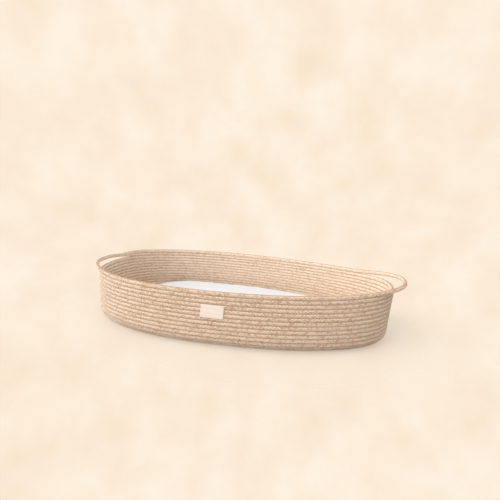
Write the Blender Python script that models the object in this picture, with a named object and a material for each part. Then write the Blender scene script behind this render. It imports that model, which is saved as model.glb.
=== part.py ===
# Oval changing basket of coiled rope, with two rope handles and a lift-out pad.
# Metres, +Z up. The basket's length runs along X, its front faces -Y, and it stands on z = 0.
import math

import bmesh
import bpy
import numpy as np

# Driving sizes
ROPE_DIAMETER = 0.0080
ROW_PITCH = 0.0087
WALL_ROWS = 13
WALL_COURSE_ROWS = (4, 9)
POINTS_PER_ROW = 24
TOUCH_GAP = 0.0003

# The floor's outline: a rounded oval, measured along the outermost rope's middle
FLOOR_HALF_LENGTH = 0.345
FLOOR_HALF_WIDTH = 0.1505
FLOOR_END_POWER = 2.2
FLOOR_SIDE_POWER = 2.46
FLOOR_CORNER_RADIUS = 0.021
FLOOR_EDGE_CHAMFER = 0.0018

# The rim's outline, which leans back a little, with its sides drawn in and its ends raised
RIM_HALF_LENGTH = 0.374
RIM_HALF_WIDTH = 0.160
RIM_END_POWER = 2.0
RIM_SIDE_POWER = 2.41
RIM_SHIFT_BACK = 0.0085
RIM_LEFT_RISE = 0.002
RIM_RIGHT_RISE = 0.008
RIM_RISE_POWER = 4
LEAN_EASE_POWER = 1.3

# The soft basket sits wider at its left end than at its right
TAPER_SHARE = 0.12

# The rope's start and its cut end are at the back, near the left end
ROPE_START_DEG = 157.5
ROPE_CUT_SHARE = 0.012

# Handles: the turns between which the last row leaves the wall, and how it stands off.
# The turns fall on points that the rows share: the rope's start and steps of 360 / POINTS_PER_ROW.
HANDLE_LEFT_DEG = (157.5, 217.5)
HANDLE_RIGHT_DEG = (322.5, 37.5)
HANDLE_LEFT_BULGE = 0.011
HANDLE_RIGHT_BULGE = 0.026
HANDLE_LEFT_RAISE = 0.008
HANDLE_RIGHT_RAISE = 0.008
HANDLE_SWELL_POWER = 1.4
HANDLE_END_WAY_SHARE = 0.6
HANDLE_POINTS = 21

# Pad
PAD_HALF_LENGTH = 0.296
PAD_HALF_WIDTH = 0.1525
PAD_POWER = 2.5
PAD_SHIFT_RIGHT = -0.006
PAD_SHIFT_BACK = 0.0075
PAD_PANEL_THICKNESS = 0.0015
PAD_FOOT_INSET = 0.0070
PAD_CORE_THICKNESS = 0.0160
PAD_TOP_EDGE_THICKNESS = 0.0035
PAD_TOP_CORNER = 0.0020
PAD_CROWN = 0.0060
PAD_CROWN_POWER = 0.7
PAD_CROWN_SPREAD_SHARE = 0.8
PAD_CROWN_EARLY_SHARE = 0.06
PAD_BAND_THICKNESS = 0.0020
PAD_BAND_EDGE_INSET = 0.0005
PAD_DRAW_IN = 0.0025
PAD_OUTLINE_POINTS = 48
PAD_CROWN_RINGS = 7

# Label, with one row of stitches along each side
LABEL_WIDTH = 0.050
LABEL_HEIGHT = 0.027
LABEL_THICKNESS = 0.0012
LABEL_TURN_DEG = 267.4
LABEL_MIDDLE_ROW = 10.2
LABEL_COLUMNS = 9
LABEL_STAND_OFF = 0.0008
STITCH_DIAMETER = 0.0008
STITCH_MARGIN = 0.0022
STITCH_POINTS = 5

# How closely a direction is read off a curve, as a turn in radians and as a share of a row
FLOOR_READ_STEP = 0.02
RIM_READ_STEP = 0.05
ROW_READ_STEP = 0.001

ROPE_RADIUS = ROPE_DIAMETER / 2
CORNER_ARC = FLOOR_CORNER_RADIUS * math.pi / 2
UPRIGHT_HEIGHT = (WALL_ROWS + 1) * ROW_PITCH - CORNER_ARC
ROPE_START = math.radians(ROPE_START_DEG)

COLOURS = {
    "rope": ((0.72, 0.56, 0.40, 1.0), 0.92),
    "rim": ((0.76, 0.62, 0.46, 1.0), 0.92),
    "label": ((0.90, 0.86, 0.77, 1.0), 0.85),
    "thread": ((0.80, 0.70, 0.56, 1.0), 0.80),
    "cover": ((0.90, 0.91, 0.92, 1.0), 0.85),
    "foam": ((0.93, 0.91, 0.82, 1.0), 0.95),
}


def clear_scene():
    for thing in list(bpy.data.objects):
        bpy.data.objects.remove(thing, do_unlink=True)


def make_collection(name):
    collection = bpy.data.collections.new(name)
    bpy.context.scene.collection.children.link(collection)
    return collection


def make_material(name, look):
    colour, roughness = COLOURS[look]
    material = bpy.data.materials.new(name)
    material.use_nodes = True
    shader = material.node_tree.nodes["Principled BSDF"]
    shader.inputs["Base Color"].default_value = colour
    shader.inputs["Roughness"].default_value = roughness
    shader.inputs["Metallic"].default_value = 0.0
    return material


def signed_power(value, power):
    return math.copysign(abs(value) ** power, value)


def oval(turn, half_length, half_width, end_power, side_power, shift_back=0.0):
    along = half_length * signed_power(math.cos(turn), 2 / end_power)
    across = half_width * signed_power(math.sin(turn), 2 / side_power)
    across *= 1 - TAPER_SHARE * along / half_length
    return np.array([along, across + shift_back])


def floor_oval(turn):
    return oval(turn, FLOOR_HALF_LENGTH, FLOOR_HALF_WIDTH, FLOOR_END_POWER, FLOOR_SIDE_POWER)


def rim_oval(turn):
    return oval(turn, RIM_HALF_LENGTH, RIM_HALF_WIDTH, RIM_END_POWER, RIM_SIDE_POWER, RIM_SHIFT_BACK)


def outward(turn, curve=floor_oval, step=FLOOR_READ_STEP):
    """Unit normal of a closed curve, read over a short stretch so that it stays smooth."""
    chord = curve(turn + step) - curve(turn - step)
    return np.array([chord[1], -chord[0]]) / np.linalg.norm(chord)


def wall_point(turn, along):
    """A point of the wall, at a turn round the basket and a length along its section."""
    foot = floor_oval(turn)
    normal = outward(turn)
    if along < CORNER_ARC:
        bend = along / FLOOR_CORNER_RADIUS
        spread = foot + normal * FLOOR_CORNER_RADIUS * math.sin(bend)
        height = ROPE_RADIUS + FLOOR_CORNER_RADIUS * (1 - math.cos(bend))
        return np.array([spread[0], spread[1], height])
    share = (along - CORNER_ARC) / UPRIGHT_HEIGHT
    base = foot + normal * FLOOR_CORNER_RADIUS
    place = base + (rim_oval(turn) - base) * share ** LEAN_EASE_POWER
    end_rise = RIM_LEFT_RISE if place[0] < 0 else RIM_RIGHT_RISE
    rise = end_rise * share * (place[0] / RIM_HALF_LENGTH) ** RIM_RISE_POWER
    height = ROPE_RADIUS + FLOOR_CORNER_RADIUS + (along - CORNER_ARC) + rise
    return np.array([place[0], place[1], height])


def rope_turn(rows):
    return ROPE_START + 2 * math.pi * rows


def curved_point(rows):
    """The rope's true middle after a number of rows: it climbs one pitch in each row."""
    return wall_point(rope_turn(rows), ROW_PITCH * rows)


def rope_point(rows):
    """The same in straight stretches, between points that all the rows share."""
    before = math.floor(rows * POINTS_PER_ROW) / POINTS_PER_ROW
    start, end = curved_point(before), curved_point(before + 1 / POINTS_PER_ROW)
    return start + (end - start) * (rows - before) * POINTS_PER_ROW


def rope_way(rows, side):
    """The direction of the stretch before a point, with side -1, or after it, with side 1."""
    chord = (rope_point(rows + side * ROW_READ_STEP) - rope_point(rows)) * side
    return chord / np.linalg.norm(chord)


def rows_at(turn_deg, row):
    """The row count at which the rope passes a turn, on a given row."""
    return row + ((turn_deg - ROPE_START_DEG) % 360) / 360


def handle_point(rows, span, bulge, lift):
    """The last row where it leaves the wall: it bulges outward and lifts, then comes back."""
    start, end = span
    place = curved_point(rows)
    swell = math.sin(math.pi * (rows - start) / (end - start)) ** HANDLE_SWELL_POWER
    end_way = np.array([math.copysign(1.0, place[0]), 0.0])
    normal = outward(rope_turn(rows), rim_oval, RIM_READ_STEP)
    way = normal * (1 - HANDLE_END_WAY_SHARE) + end_way * HANDLE_END_WAY_SHARE
    way = way / np.linalg.norm(way)
    place[:2] += way * bulge * swell
    place[2] += lift * swell
    return place


def rope_route(start, end):
    """Points of a stretch of rope on the wall. Each end stops short by half the gap."""
    first = math.floor(round(start * POINTS_PER_ROW, 3)) + 1
    last = math.ceil(round(end * POINTS_PER_ROW, 3))
    shared = [index / POINTS_PER_ROW for index in range(first, last)]
    points = [rope_point(rows) for rows in [start] + shared + [end]]
    points[0] += rope_way(start, 1) * TOUCH_GAP / 2
    points[-1] -= rope_way(end, -1) * TOUCH_GAP / 2
    return points


def handle_route(span, bulge, lift):
    """Points of a handle. Both ends run straight for one diameter, in line with their neighbour."""
    start, end = span
    first, last = rope_point(start), rope_point(end)
    leave, arrive = rope_way(start, -1), rope_way(end, 1)
    head = [first + leave * TOUCH_GAP / 2, first + leave * ROPE_DIAMETER]
    tail = [last - arrive * ROPE_DIAMETER, last - arrive * TOUCH_GAP / 2]
    steps = np.linspace(start, end, HANDLE_POINTS)[1:-1]
    return head + [handle_point(rows, span, bulge, lift) for rows in steps] + tail


def tube(name, points, diameter, look, collection, resolution=1):
    curve = bpy.data.curves.new(name, "CURVE")
    curve.dimensions = "3D"
    curve.bevel_depth = diameter / 2
    curve.bevel_resolution = resolution
    curve.use_fill_caps = True
    curve.twist_mode = "Z_UP"
    spline = curve.splines.new("POLY")
    spline.points.add(len(points) - 1)
    for spot, point in zip(spline.points, points):
        spot.co = (point[0], point[1], point[2], 1.0)
    piece = bpy.data.objects.new(name, curve)
    piece.data.materials.append(make_material(name, look))
    collection.objects.link(piece)
    return piece


def mesh_piece(name, build, look, collection, smooth_deg=40.0):
    """A piece from a bmesh that the build function fills."""
    shape = bmesh.new()
    build(shape)
    bmesh.ops.recalc_face_normals(shape, faces=shape.faces)
    mesh = bpy.data.meshes.new(name)
    shape.to_mesh(mesh)
    shape.free()
    mesh.shade_smooth()
    mesh.set_sharp_from_angle(angle=math.radians(smooth_deg))
    piece = bpy.data.objects.new(name, mesh)
    piece.data.materials.append(make_material(name, look))
    collection.objects.link(piece)
    return piece


def bridge_rings(shape, rings):
    for lower, upper in zip(rings, rings[1:]):
        for index in range(len(lower)):
            following = (index + 1) % len(lower)
            shape.faces.new((lower[index], lower[following], upper[following], upper[index]))


def cap_rings(shape, rings):
    shape.faces.new(rings[0])
    shape.faces.new(rings[-1])


def least_gap(points, diameter, near=4):
    """The least gap of a tube to itself, measured between its points and its farther stretches."""
    path = np.array(points)
    least = math.inf
    starts, runs = path[:-1], path[1:] - path[:-1]
    lengths = (runs ** 2).sum(axis=1)
    for index, point in enumerate(path):
        far = np.abs(np.arange(len(starts)) - index) > near
        share = ((point - starts[far]) * runs[far]).sum(axis=1) / lengths[far]
        nearest = starts[far] + runs[far] * np.clip(share, 0, 1)[:, None]
        least = min(least, np.linalg.norm(nearest - point, axis=1).min())
    return least - diameter


def floor_edge():
    """Places and outward directions round the floor's edge. It winds out by one row in a turn."""
    reach = ROPE_RADIUS - TOUCH_GAP
    edge = []
    for index in range(POINTS_PER_ROW + 1):
        rows = index / POINTS_PER_ROW
        edge.append((rope_point(rows)[:2], outward(rope_turn(rows))))
    way = rope_way(1.0, 1)[:2]
    way = way / np.linalg.norm(way)
    square = np.array([way[1], -way[0]])
    step_face = edge[-1][0] @ way - TOUCH_GAP / 2
    for index in (0, -1):
        place = edge[index][0]
        edge[index] = (place + way * (step_face - place @ way), square)
    return [(place + normal * reach, normal) for place, normal in edge]


def make_floor(collection):
    """A plate one rope thick, with a step in its edge that the wall rope starts from."""
    edge = floor_edge()

    def build(shape):
        chamfer = FLOOR_EDGE_CHAMFER
        profile = ((chamfer, 0.0), (0.0, chamfer), (0.0, ROPE_DIAMETER - chamfer), (chamfer, ROPE_DIAMETER))
        rings = []
        for inset, height in profile:
            ring = [place - normal * inset for place, normal in edge]
            rings.append([shape.verts.new((spot[0], spot[1], height)) for spot in ring])
        bridge_rings(shape, rings)
        cap_rings(shape, rings)

    mesh_piece("floor_coil", build, "rope", collection)


def make_wall(collection):
    """One winding in three courses, which meet halfway along a straight stretch."""
    joint = 0.5 / POINTS_PER_ROW
    start, end = 1.0, rows_at(HANDLE_LEFT_DEG[0], WALL_ROWS + 1)
    gap = least_gap(rope_route(start, end), ROPE_DIAMETER)
    print("wall rope: least gap to itself", round(gap * 1000, 2), "mm")
    stops = [start] + [row + joint for row in WALL_COURSE_ROWS] + [end]
    for name, first, last in zip(("foot", "lower", "upper"), stops, stops[1:]):
        tube("wall_coil_" + name, rope_route(first, last), ROPE_DIAMETER, "rope", collection)


def make_rim_and_handles(collection):
    row = WALL_ROWS + 1
    left = [rows_at(turn, row) for turn in HANDLE_LEFT_DEG]
    right = [rows_at(turn, row) for turn in HANDLE_RIGHT_DEG]
    routes = {
        "handle_rope_left": handle_route(left, HANDLE_LEFT_BULGE, HANDLE_LEFT_RAISE),
        "rim_rope_front": rope_route(left[1], right[0]),
        "handle_rope_right": handle_route(right, HANDLE_RIGHT_BULGE, HANDLE_RIGHT_RAISE),
        "rim_rope_back": rope_route(right[1], row + 1 - ROPE_CUT_SHARE),
    }
    for name, points in routes.items():
        tube(name, points, ROPE_DIAMETER, "rim", collection)


def pad_ring(shape, inset, height):
    ring = []
    length, width = PAD_HALF_LENGTH - inset, PAD_HALF_WIDTH - inset
    for index in range(PAD_OUTLINE_POINTS):
        turn = 2 * math.pi * index / PAD_OUTLINE_POINTS
        spot = oval(turn, length, width, PAD_POWER, PAD_POWER, PAD_SHIFT_BACK)
        ring.append(shape.verts.new((spot[0] + PAD_SHIFT_RIGHT, spot[1], height)))
    return ring


def make_pad(collection):
    bottom = ROPE_DIAMETER + TOUCH_GAP
    core_bottom = bottom + PAD_PANEL_THICKNESS + TOUCH_GAP
    core_top = core_bottom + PAD_CORE_THICKNESS
    top = core_top + TOUCH_GAP
    band_inner = PAD_DRAW_IN + PAD_BAND_THICKNESS

    def build_bottom(shape):
        rings = [
            pad_ring(shape, PAD_FOOT_INSET, bottom),
            pad_ring(shape, PAD_FOOT_INSET - PAD_PANEL_THICKNESS, bottom + PAD_PANEL_THICKNESS),
        ]
        bridge_rings(shape, rings)
        cap_rings(shape, rings)

    def build_core(shape):
        foot_inset = PAD_FOOT_INSET + PAD_BAND_THICKNESS
        middle = (core_bottom + core_top) / 2
        rings = [
            pad_ring(shape, foot_inset + TOUCH_GAP, core_bottom),
            pad_ring(shape, band_inner + TOUCH_GAP, middle),
            pad_ring(shape, band_inner + TOUCH_GAP, core_top),
        ]
        bridge_rings(shape, rings)
        cap_rings(shape, rings)

    def build_band(shape):
        middle = (core_bottom + core_top) / 2
        foot_inset = PAD_FOOT_INSET - PAD_PANEL_THICKNESS
        profile = (
            (foot_inset, core_bottom),
            (PAD_DRAW_IN, middle),
            (PAD_BAND_EDGE_INSET, core_top),
            (band_inner, core_top),
            (band_inner, middle),
            (PAD_FOOT_INSET + PAD_BAND_THICKNESS, core_bottom),
        )
        rings = [pad_ring(shape, inset, height) for inset, height in profile]
        bridge_rings(shape, rings + [rings[0]])

    def build_top(shape):
        edge_middle = top + PAD_TOP_EDGE_THICKNESS / 2
        rings = [pad_ring(shape, 0.0, top), pad_ring(shape, 0.0, edge_middle)]
        for index in range(PAD_CROWN_RINGS):
            share = index / PAD_CROWN_RINGS
            inset = PAD_TOP_CORNER + PAD_HALF_WIDTH * PAD_CROWN_SPREAD_SHARE * share
            reach = min(1.0, share / PAD_CROWN_SPREAD_SHARE + PAD_CROWN_EARLY_SHARE)
            swell = math.sin(math.pi / 2 * reach) ** PAD_CROWN_POWER
            rings.append(pad_ring(shape, inset, top + PAD_TOP_EDGE_THICKNESS + PAD_CROWN * swell))
        bridge_rings(shape, rings)
        cap_rings(shape, rings)

    mesh_piece("pad_bottom_cover", build_bottom, "cover", collection)
    mesh_piece("pad_foam_core", build_core, "foam", collection)
    mesh_piece("pad_side_band", build_band, "cover", collection)
    mesh_piece("pad_top_cover", build_top, "cover", collection)


def label_point(across, up, out):
    """A point on the label: across and up from its middle, and out from the ropes' crests."""
    middle = math.radians(LABEL_TURN_DEG)
    length = LABEL_MIDDLE_ROW * ROW_PITCH + up
    chord = wall_point(middle + FLOOR_READ_STEP, length) - wall_point(middle - FLOOR_READ_STEP, length)
    turn = middle + across * 2 * FLOOR_READ_STEP / np.linalg.norm(chord)
    foot = wall_point(turn, length)
    normal = outward(turn)
    reach = ROPE_RADIUS + LABEL_STAND_OFF + out
    return (foot[0] + normal[0] * reach, foot[1] + normal[1] * reach, foot[2])


def make_label(collection):
    """A thin woven label that follows the wall, held by a row of stitches at each side."""
    def build(shape):
        rings = []
        for out in (0.0, LABEL_THICKNESS):
            ring = []
            for side in (-1, 1):
                for index in range(LABEL_COLUMNS):
                    across = (0.5 - index / (LABEL_COLUMNS - 1)) * side * LABEL_WIDTH
                    ring.append(shape.verts.new(label_point(across, side * LABEL_HEIGHT / 2, out)))
            rings.append(ring)
        bridge_rings(shape, rings)
        count = len(rings[0])
        for ring in rings:
            for index in range(LABEL_COLUMNS - 1):
                opposite = count - 1 - index
                shape.faces.new((ring[index], ring[index + 1], ring[opposite - 1], ring[opposite]))

    mesh_piece("label", build, "label", collection)
    out = LABEL_THICKNESS + TOUCH_GAP + STITCH_DIAMETER / 2
    across = LABEL_WIDTH / 2 - STITCH_MARGIN
    reach = LABEL_HEIGHT / 2 - STITCH_MARGIN
    for name, side in (("label_stitches_left", -1), ("label_stitches_right", 1)):
        points = [label_point(across * side, up, out) for up in np.linspace(-reach, reach, STITCH_POINTS)]
        tube(name, points, STITCH_DIAMETER, "thread", collection)


def main():
    clear_scene()
    collection = make_collection("changing_basket")
    make_floor(collection)
    make_wall(collection)
    make_rim_and_handles(collection)
    make_pad(collection)
    make_label(collection)


main()
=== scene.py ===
import math

import bmesh
import bpy
import numpy as np
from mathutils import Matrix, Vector, noise
from mathutils.bvhtree import BVHTree


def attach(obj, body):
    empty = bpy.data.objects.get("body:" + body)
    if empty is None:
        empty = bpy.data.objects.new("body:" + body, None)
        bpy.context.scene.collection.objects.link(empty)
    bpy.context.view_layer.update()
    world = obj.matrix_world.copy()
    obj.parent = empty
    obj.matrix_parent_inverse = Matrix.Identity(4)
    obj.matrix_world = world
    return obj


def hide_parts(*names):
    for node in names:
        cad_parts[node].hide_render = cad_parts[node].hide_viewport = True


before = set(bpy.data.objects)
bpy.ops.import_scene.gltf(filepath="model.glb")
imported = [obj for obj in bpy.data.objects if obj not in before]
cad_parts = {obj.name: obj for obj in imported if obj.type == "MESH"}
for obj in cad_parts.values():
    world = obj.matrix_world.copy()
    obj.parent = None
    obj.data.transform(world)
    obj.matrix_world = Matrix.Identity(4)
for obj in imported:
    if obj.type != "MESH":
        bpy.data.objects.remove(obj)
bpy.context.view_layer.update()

# Shape of the basket, as in the part: the oval at the floor, the oval at the rim and the rows between
basket = {
    "rowPitch": 0.0087,
    "wallRows": 13,
    "ropeRadius": 0.0040,
    "floorOval": (0.345, 0.1505, 2.2, 2.46, 0.0),
    "rimOval": (0.374, 0.160, 2.0, 2.41, 0.0085),
    "cornerRadius": 0.021,
    "leanPower": 1.3,
    "rimEndRise": (0.002, 0.008),  # at the left end and at the right
    "rimRisePower": 4,
    "taperShare": 0.12,
    "ropeStart": math.radians(157.5),
    "ropeCutShare": 0.012,
    "tailShare": 0.030,
    "tailPoints": 16,
    "tailPower": 0.8,
    "tailEndSize": 0.25,
    "floorSpine": 0.1945,  # half length of the straight row that the floor is wound round
    "floorInnerRow": -16.93,
    "floorReach": 0.1473,  # from the floor's edge to the straight row, so that the first two runs touch
    "waver": 0.0005,  # how far the sewn rows wander in and out
    "waverScale": 9.0,
    "waverStart": 0.03,  # length along the section over which the wander sets in
    "readStep": 0.02,  # turn over which a direction is read off an oval
}

handles = {
    "left": {"turns": (157.5, 217.5), "bulge": 0.011, "lift": 0.008},
    "right": {"turns": (322.5, 37.5), "bulge": 0.026, "lift": 0.008},
    "swellPower": 1.4,
    "endWayShare": 0.6,
    "lap": 0.0012,  # each end runs on a little inside the next stretch, so that no slit shows
    "lapSize": 0.94,
    "readStep": 0.05,
    "points": 96,
}


# Shape of the rows

def signedPower(value, power):
    return np.sign(value) * np.abs(value) ** power


def ovalPoint(turn, shape):
    halfLength, halfWidth, endPower, sidePower, shiftBack = shape
    x = halfLength * signedPower(np.cos(turn), 2 / endPower)
    y = halfWidth * signedPower(np.sin(turn), 2 / sidePower)
    y = y * (1 - basket["taperShare"] * x / halfLength)
    return np.stack([x, y + shiftBack], axis=-1)


def outwardWay(turn, shape, step=basket["readStep"]):
    chord = ovalPoint(turn + step, shape) - ovalPoint(turn - step, shape)
    way = np.stack([chord[..., 1], -chord[..., 0]], axis=-1)
    return way / np.linalg.norm(way, axis=-1, keepdims=True)


# A point of the floor or wall, at a turn round the basket and a length along its section.
# Lengths below 0 are on the floor. It gives the place, the way out of the rope's face and how far the
# section has bent from the floor to the upright wall.
def sectionPoint(turn, along):
    radius = basket["cornerRadius"]
    arc = radius * math.pi / 2
    upright = (basket["wallRows"] + 1) * basket["rowPitch"] - arc
    foot = ovalPoint(turn, basket["floorOval"])
    way = outwardWay(turn, basket["floorOval"])
    bend = np.clip(along / radius, 0, math.pi / 2)
    spine = np.zeros_like(foot)
    spine[:, 0] = basket["floorSpine"] * np.sin(math.pi / 2 * foot[:, 0] / basket["floorOval"][0])
    inward = np.clip(1 + along / basket["floorReach"], 0, 1)
    place = spine + (foot - spine) * inward[:, None] + way * (radius * np.sin(bend))[:, None]
    share = np.clip((along - arc) / upright, 0, 2)
    rim = ovalPoint(turn, basket["rimOval"])
    place = place + (rim - place) * (share ** basket["leanPower"])[:, None]
    height = basket["ropeRadius"] + radius * (1 - np.cos(bend)) + np.clip(along - arc, 0, None)
    endRise = np.where(place[:, 0] < 0, basket["rimEndRise"][0], basket["rimEndRise"][1])
    height = height + endRise * share * (place[:, 0] / basket["rimOval"][0]) ** basket["rimRisePower"]
    out = np.stack([way[:, 0] * np.sin(bend), way[:, 1] * np.sin(bend), -np.cos(bend)], axis=-1)
    return np.column_stack([place, height]), out, bend


def turnAt(rows):
    return basket["ropeStart"] + 2 * math.pi * np.asarray(rows, dtype=float)


def waver(points, out, amount):
    shifts = [noise.noise(Vector(point) * basket["waverScale"]) for point in points]
    return points + out * (np.array(shifts) * amount)[:, None]


def rowPoints(rows, outBy=0.0, alongBy=0.0):
    along = basket["rowPitch"] * (np.asarray(rows, dtype=float) + alongBy)
    points, out, bend = sectionPoint(turnAt(rows), along)
    rise = np.clip(along / basket["waverStart"], 0, 1)
    points = waver(points, out * rise[:, None], basket["waver"])
    return points + out * outBy, math.pi / 2 - bend


def rowsAt(turnDeg, row):
    start = math.degrees(basket["ropeStart"])
    return row + ((turnDeg - start) % 360) / 360


# Where a handle starts and ends, in rows
def handleRows(side):
    row = basket["wallRows"] + 1
    return [rowsAt(turn, row) for turn in handles[side]["turns"]]


def handlePoints(side):
    start, end = handleRows(side)
    lap = handles["lap"]
    rows = np.linspace(start - lap, end + lap, handles["points"])
    points, tilts = bulge(handles[side], rows, start, end)
    sizes = np.ones(len(points))
    sizes[[0, -1]] = handles["lapSize"]
    return points, tilts, sizes


# Between its two ends the last row swings out and up, away from the wall.
def bulge(spec, rows, start, end):
    points, tilts = rowPoints(rows)
    share = np.clip((rows - start) / (end - start), 0, 1)
    swell = np.clip(np.sin(math.pi * share), 0, 1) ** handles["swellPower"]
    way = outwardWay(turnAt(rows), basket["rimOval"], handles["readStep"]) * (1 - handles["endWayShare"])
    way[:, 0] += np.sign(points[:, 0]) * handles["endWayShare"]
    way = way / np.linalg.norm(way, axis=1, keepdims=True)
    points[:, :2] += way * (swell * spec["bulge"])[:, None]
    points[:, 2] += swell * spec["lift"]
    return points, tilts


# Small helpers

def link(piece):
    bpy.context.scene.collection.objects.link(piece)
    return piece


def meshObject(name, shape, material=None, smooth=True):
    mesh = bpy.data.meshes.new(name)
    shape.to_mesh(mesh)
    shape.free()
    if material:
        mesh.materials.append(material)
    if smooth:
        shadeSmooth(mesh)
    return link(bpy.data.objects.new(name, mesh))


def shadeSmooth(mesh):
    for polygon in mesh.polygons:
        polygon.use_smooth = True


def pathObject(name, points, tilts):
    curve = bpy.data.curves.new(name, "CURVE")
    curve.dimensions = "3D"
    curve.twist_mode = "Z_UP"
    spline = curve.splines.new("POLY")
    spline.points.add(len(points) - 1)
    spline.points.foreach_set("co", np.column_stack([points, np.ones(len(points))]).ravel())
    spline.points.foreach_set("tilt", np.asarray(tilts, dtype=float))
    return link(bpy.data.objects.new(name, curve))


def addNode(tree, kind, **values):
    node = tree.nodes.new(kind)
    for key, value in values.items():
        setattr(node, key, value)
    return node


def mathNode(tree, operation, first, second=None, clamp=False):
    node = addNode(tree, "ShaderNodeMath", operation=operation, use_clamp=clamp)
    for index, value in enumerate((first, second)):
        if value is None:
            continue
        if isinstance(value, bpy.types.NodeSocket):
            tree.links.new(value, node.inputs[index])
        else:
            node.inputs[index].default_value = value
    return node.outputs[0]


def addSockets(tree, inputs, outputs):
    for name, kind in inputs:
        tree.interface.new_socket(name=name, in_out="INPUT", socket_type=kind)
    for name, kind in outputs:
        tree.interface.new_socket(name=name, in_out="OUTPUT", socket_type=kind)


def applyTree(carrier, tree, values, name):
    modifier = carrier.modifiers.new(tree.name, "NODES")
    modifier.node_group = tree
    for item in tree.interface.items_tree:
        if item.in_out == "INPUT" and item.name in values:
            modifier[item.identifier] = values[item.name]
    graph = bpy.context.evaluated_depsgraph_get()
    mesh = bpy.data.meshes.new_from_object(carrier.evaluated_get(graph))
    carrier.modifiers.remove(modifier)
    bpy.data.objects.remove(carrier)
    mesh.name = name
    return link(bpy.data.objects.new(name, mesh))


# Geometry Nodes trees

def makeRopeTree():
    tree = bpy.data.node_groups.new("ropeAlongPath", "GeometryNodeTree")
    addSockets(
        tree,
        (
            ("Geometry", "NodeSocketGeometry"),
            ("Half Depth", "NodeSocketFloat"),
            ("Half Height", "NodeSocketFloat"),
            ("Squareness", "NodeSocketFloat"),
            ("Sides", "NodeSocketInt"),
            ("Material", "NodeSocketMaterial"),
        ),
        (("Geometry", "NodeSocketGeometry"),),
    )
    given = addNode(tree, "NodeGroupInput")
    result = addNode(tree, "NodeGroupOutput")
    length = addNode(tree, "GeometryNodeSplineParameter")
    keepLength = addNode(tree, "GeometryNodeCaptureAttribute", domain="POINT")
    keepLength.capture_items.new("FLOAT", "Length")
    tree.links.new(given.outputs["Geometry"], keepLength.inputs[0])
    tree.links.new(length.outputs["Length"], keepLength.inputs[1])

    circle = addNode(tree, "GeometryNodeCurvePrimitiveCircle")
    tree.links.new(given.outputs["Sides"], circle.inputs["Resolution"])
    circle.inputs["Radius"].default_value = 1.0
    scale = addNode(tree, "ShaderNodeCombineXYZ")
    tree.links.new(given.outputs["Half Depth"], scale.inputs[0])
    tree.links.new(given.outputs["Half Height"], scale.inputs[1])
    scale.inputs[2].default_value = 1.0
    place = addNode(tree, "ShaderNodeSeparateXYZ")
    tree.links.new(addNode(tree, "GeometryNodeInputPosition").outputs[0], place.inputs[0])
    boxy = addNode(tree, "ShaderNodeCombineXYZ")
    for axis in (0, 1):
        size = mathNode(tree, "ABSOLUTE", place.outputs[axis])
        size = mathNode(tree, "POWER", size, given.outputs["Squareness"])
        size = mathNode(tree, "MULTIPLY", size, mathNode(tree, "SIGN", place.outputs[axis]))
        tree.links.new(size, boxy.inputs[axis])
    rounded = addNode(tree, "GeometryNodeSetPosition")
    tree.links.new(circle.outputs["Curve"], rounded.inputs["Geometry"])
    tree.links.new(boxy.outputs[0], rounded.inputs["Position"])
    shape = addNode(tree, "GeometryNodeTransform")
    tree.links.new(rounded.outputs[0], shape.inputs["Geometry"])
    tree.links.new(scale.outputs[0], shape.inputs["Scale"])
    index = addNode(tree, "GeometryNodeInputIndex")
    share = mathNode(tree, "DIVIDE", index.outputs[0], given.outputs["Sides"])
    keepShare = addNode(tree, "GeometryNodeCaptureAttribute", domain="POINT")
    keepShare.capture_items.new("FLOAT", "Share")
    tree.links.new(shape.outputs[0], keepShare.inputs[0])
    tree.links.new(share, keepShare.inputs[1])

    tube = addNode(tree, "GeometryNodeCurveToMesh")
    tree.links.new(keepLength.outputs[0], tube.inputs["Curve"])
    tree.links.new(keepShare.outputs[0], tube.inputs["Profile Curve"])
    tube.inputs["Fill Caps"].default_value = True

    # the last strip of faces runs from a share near 1 back to 0, so its low corners get 1 added
    mean = addNode(tree, "GeometryNodeFieldOnDomain", domain="FACE", data_type="FLOAT")
    tree.links.new(keepShare.outputs[1], mean.inputs[0])
    below = mathNode(tree, "SUBTRACT", mean.outputs[0], keepShare.outputs[1])
    wrap = mathNode(tree, "GREATER_THAN", below, 0.25)
    around = mathNode(tree, "ADD", keepShare.outputs[1], wrap)
    uv = addNode(tree, "ShaderNodeCombineXYZ")
    tree.links.new(keepLength.outputs[1], uv.inputs[0])
    tree.links.new(around, uv.inputs[1])
    store = addNode(tree, "GeometryNodeStoreNamedAttribute", domain="CORNER", data_type="FLOAT2")
    store.inputs["Name"].default_value = "UVMap"
    tree.links.new(tube.outputs[0], store.inputs["Geometry"])
    tree.links.new(uv.outputs[0], store.inputs["Value"])
    finishTree(tree, store.outputs[0], given.outputs["Material"], result)
    return tree


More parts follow.
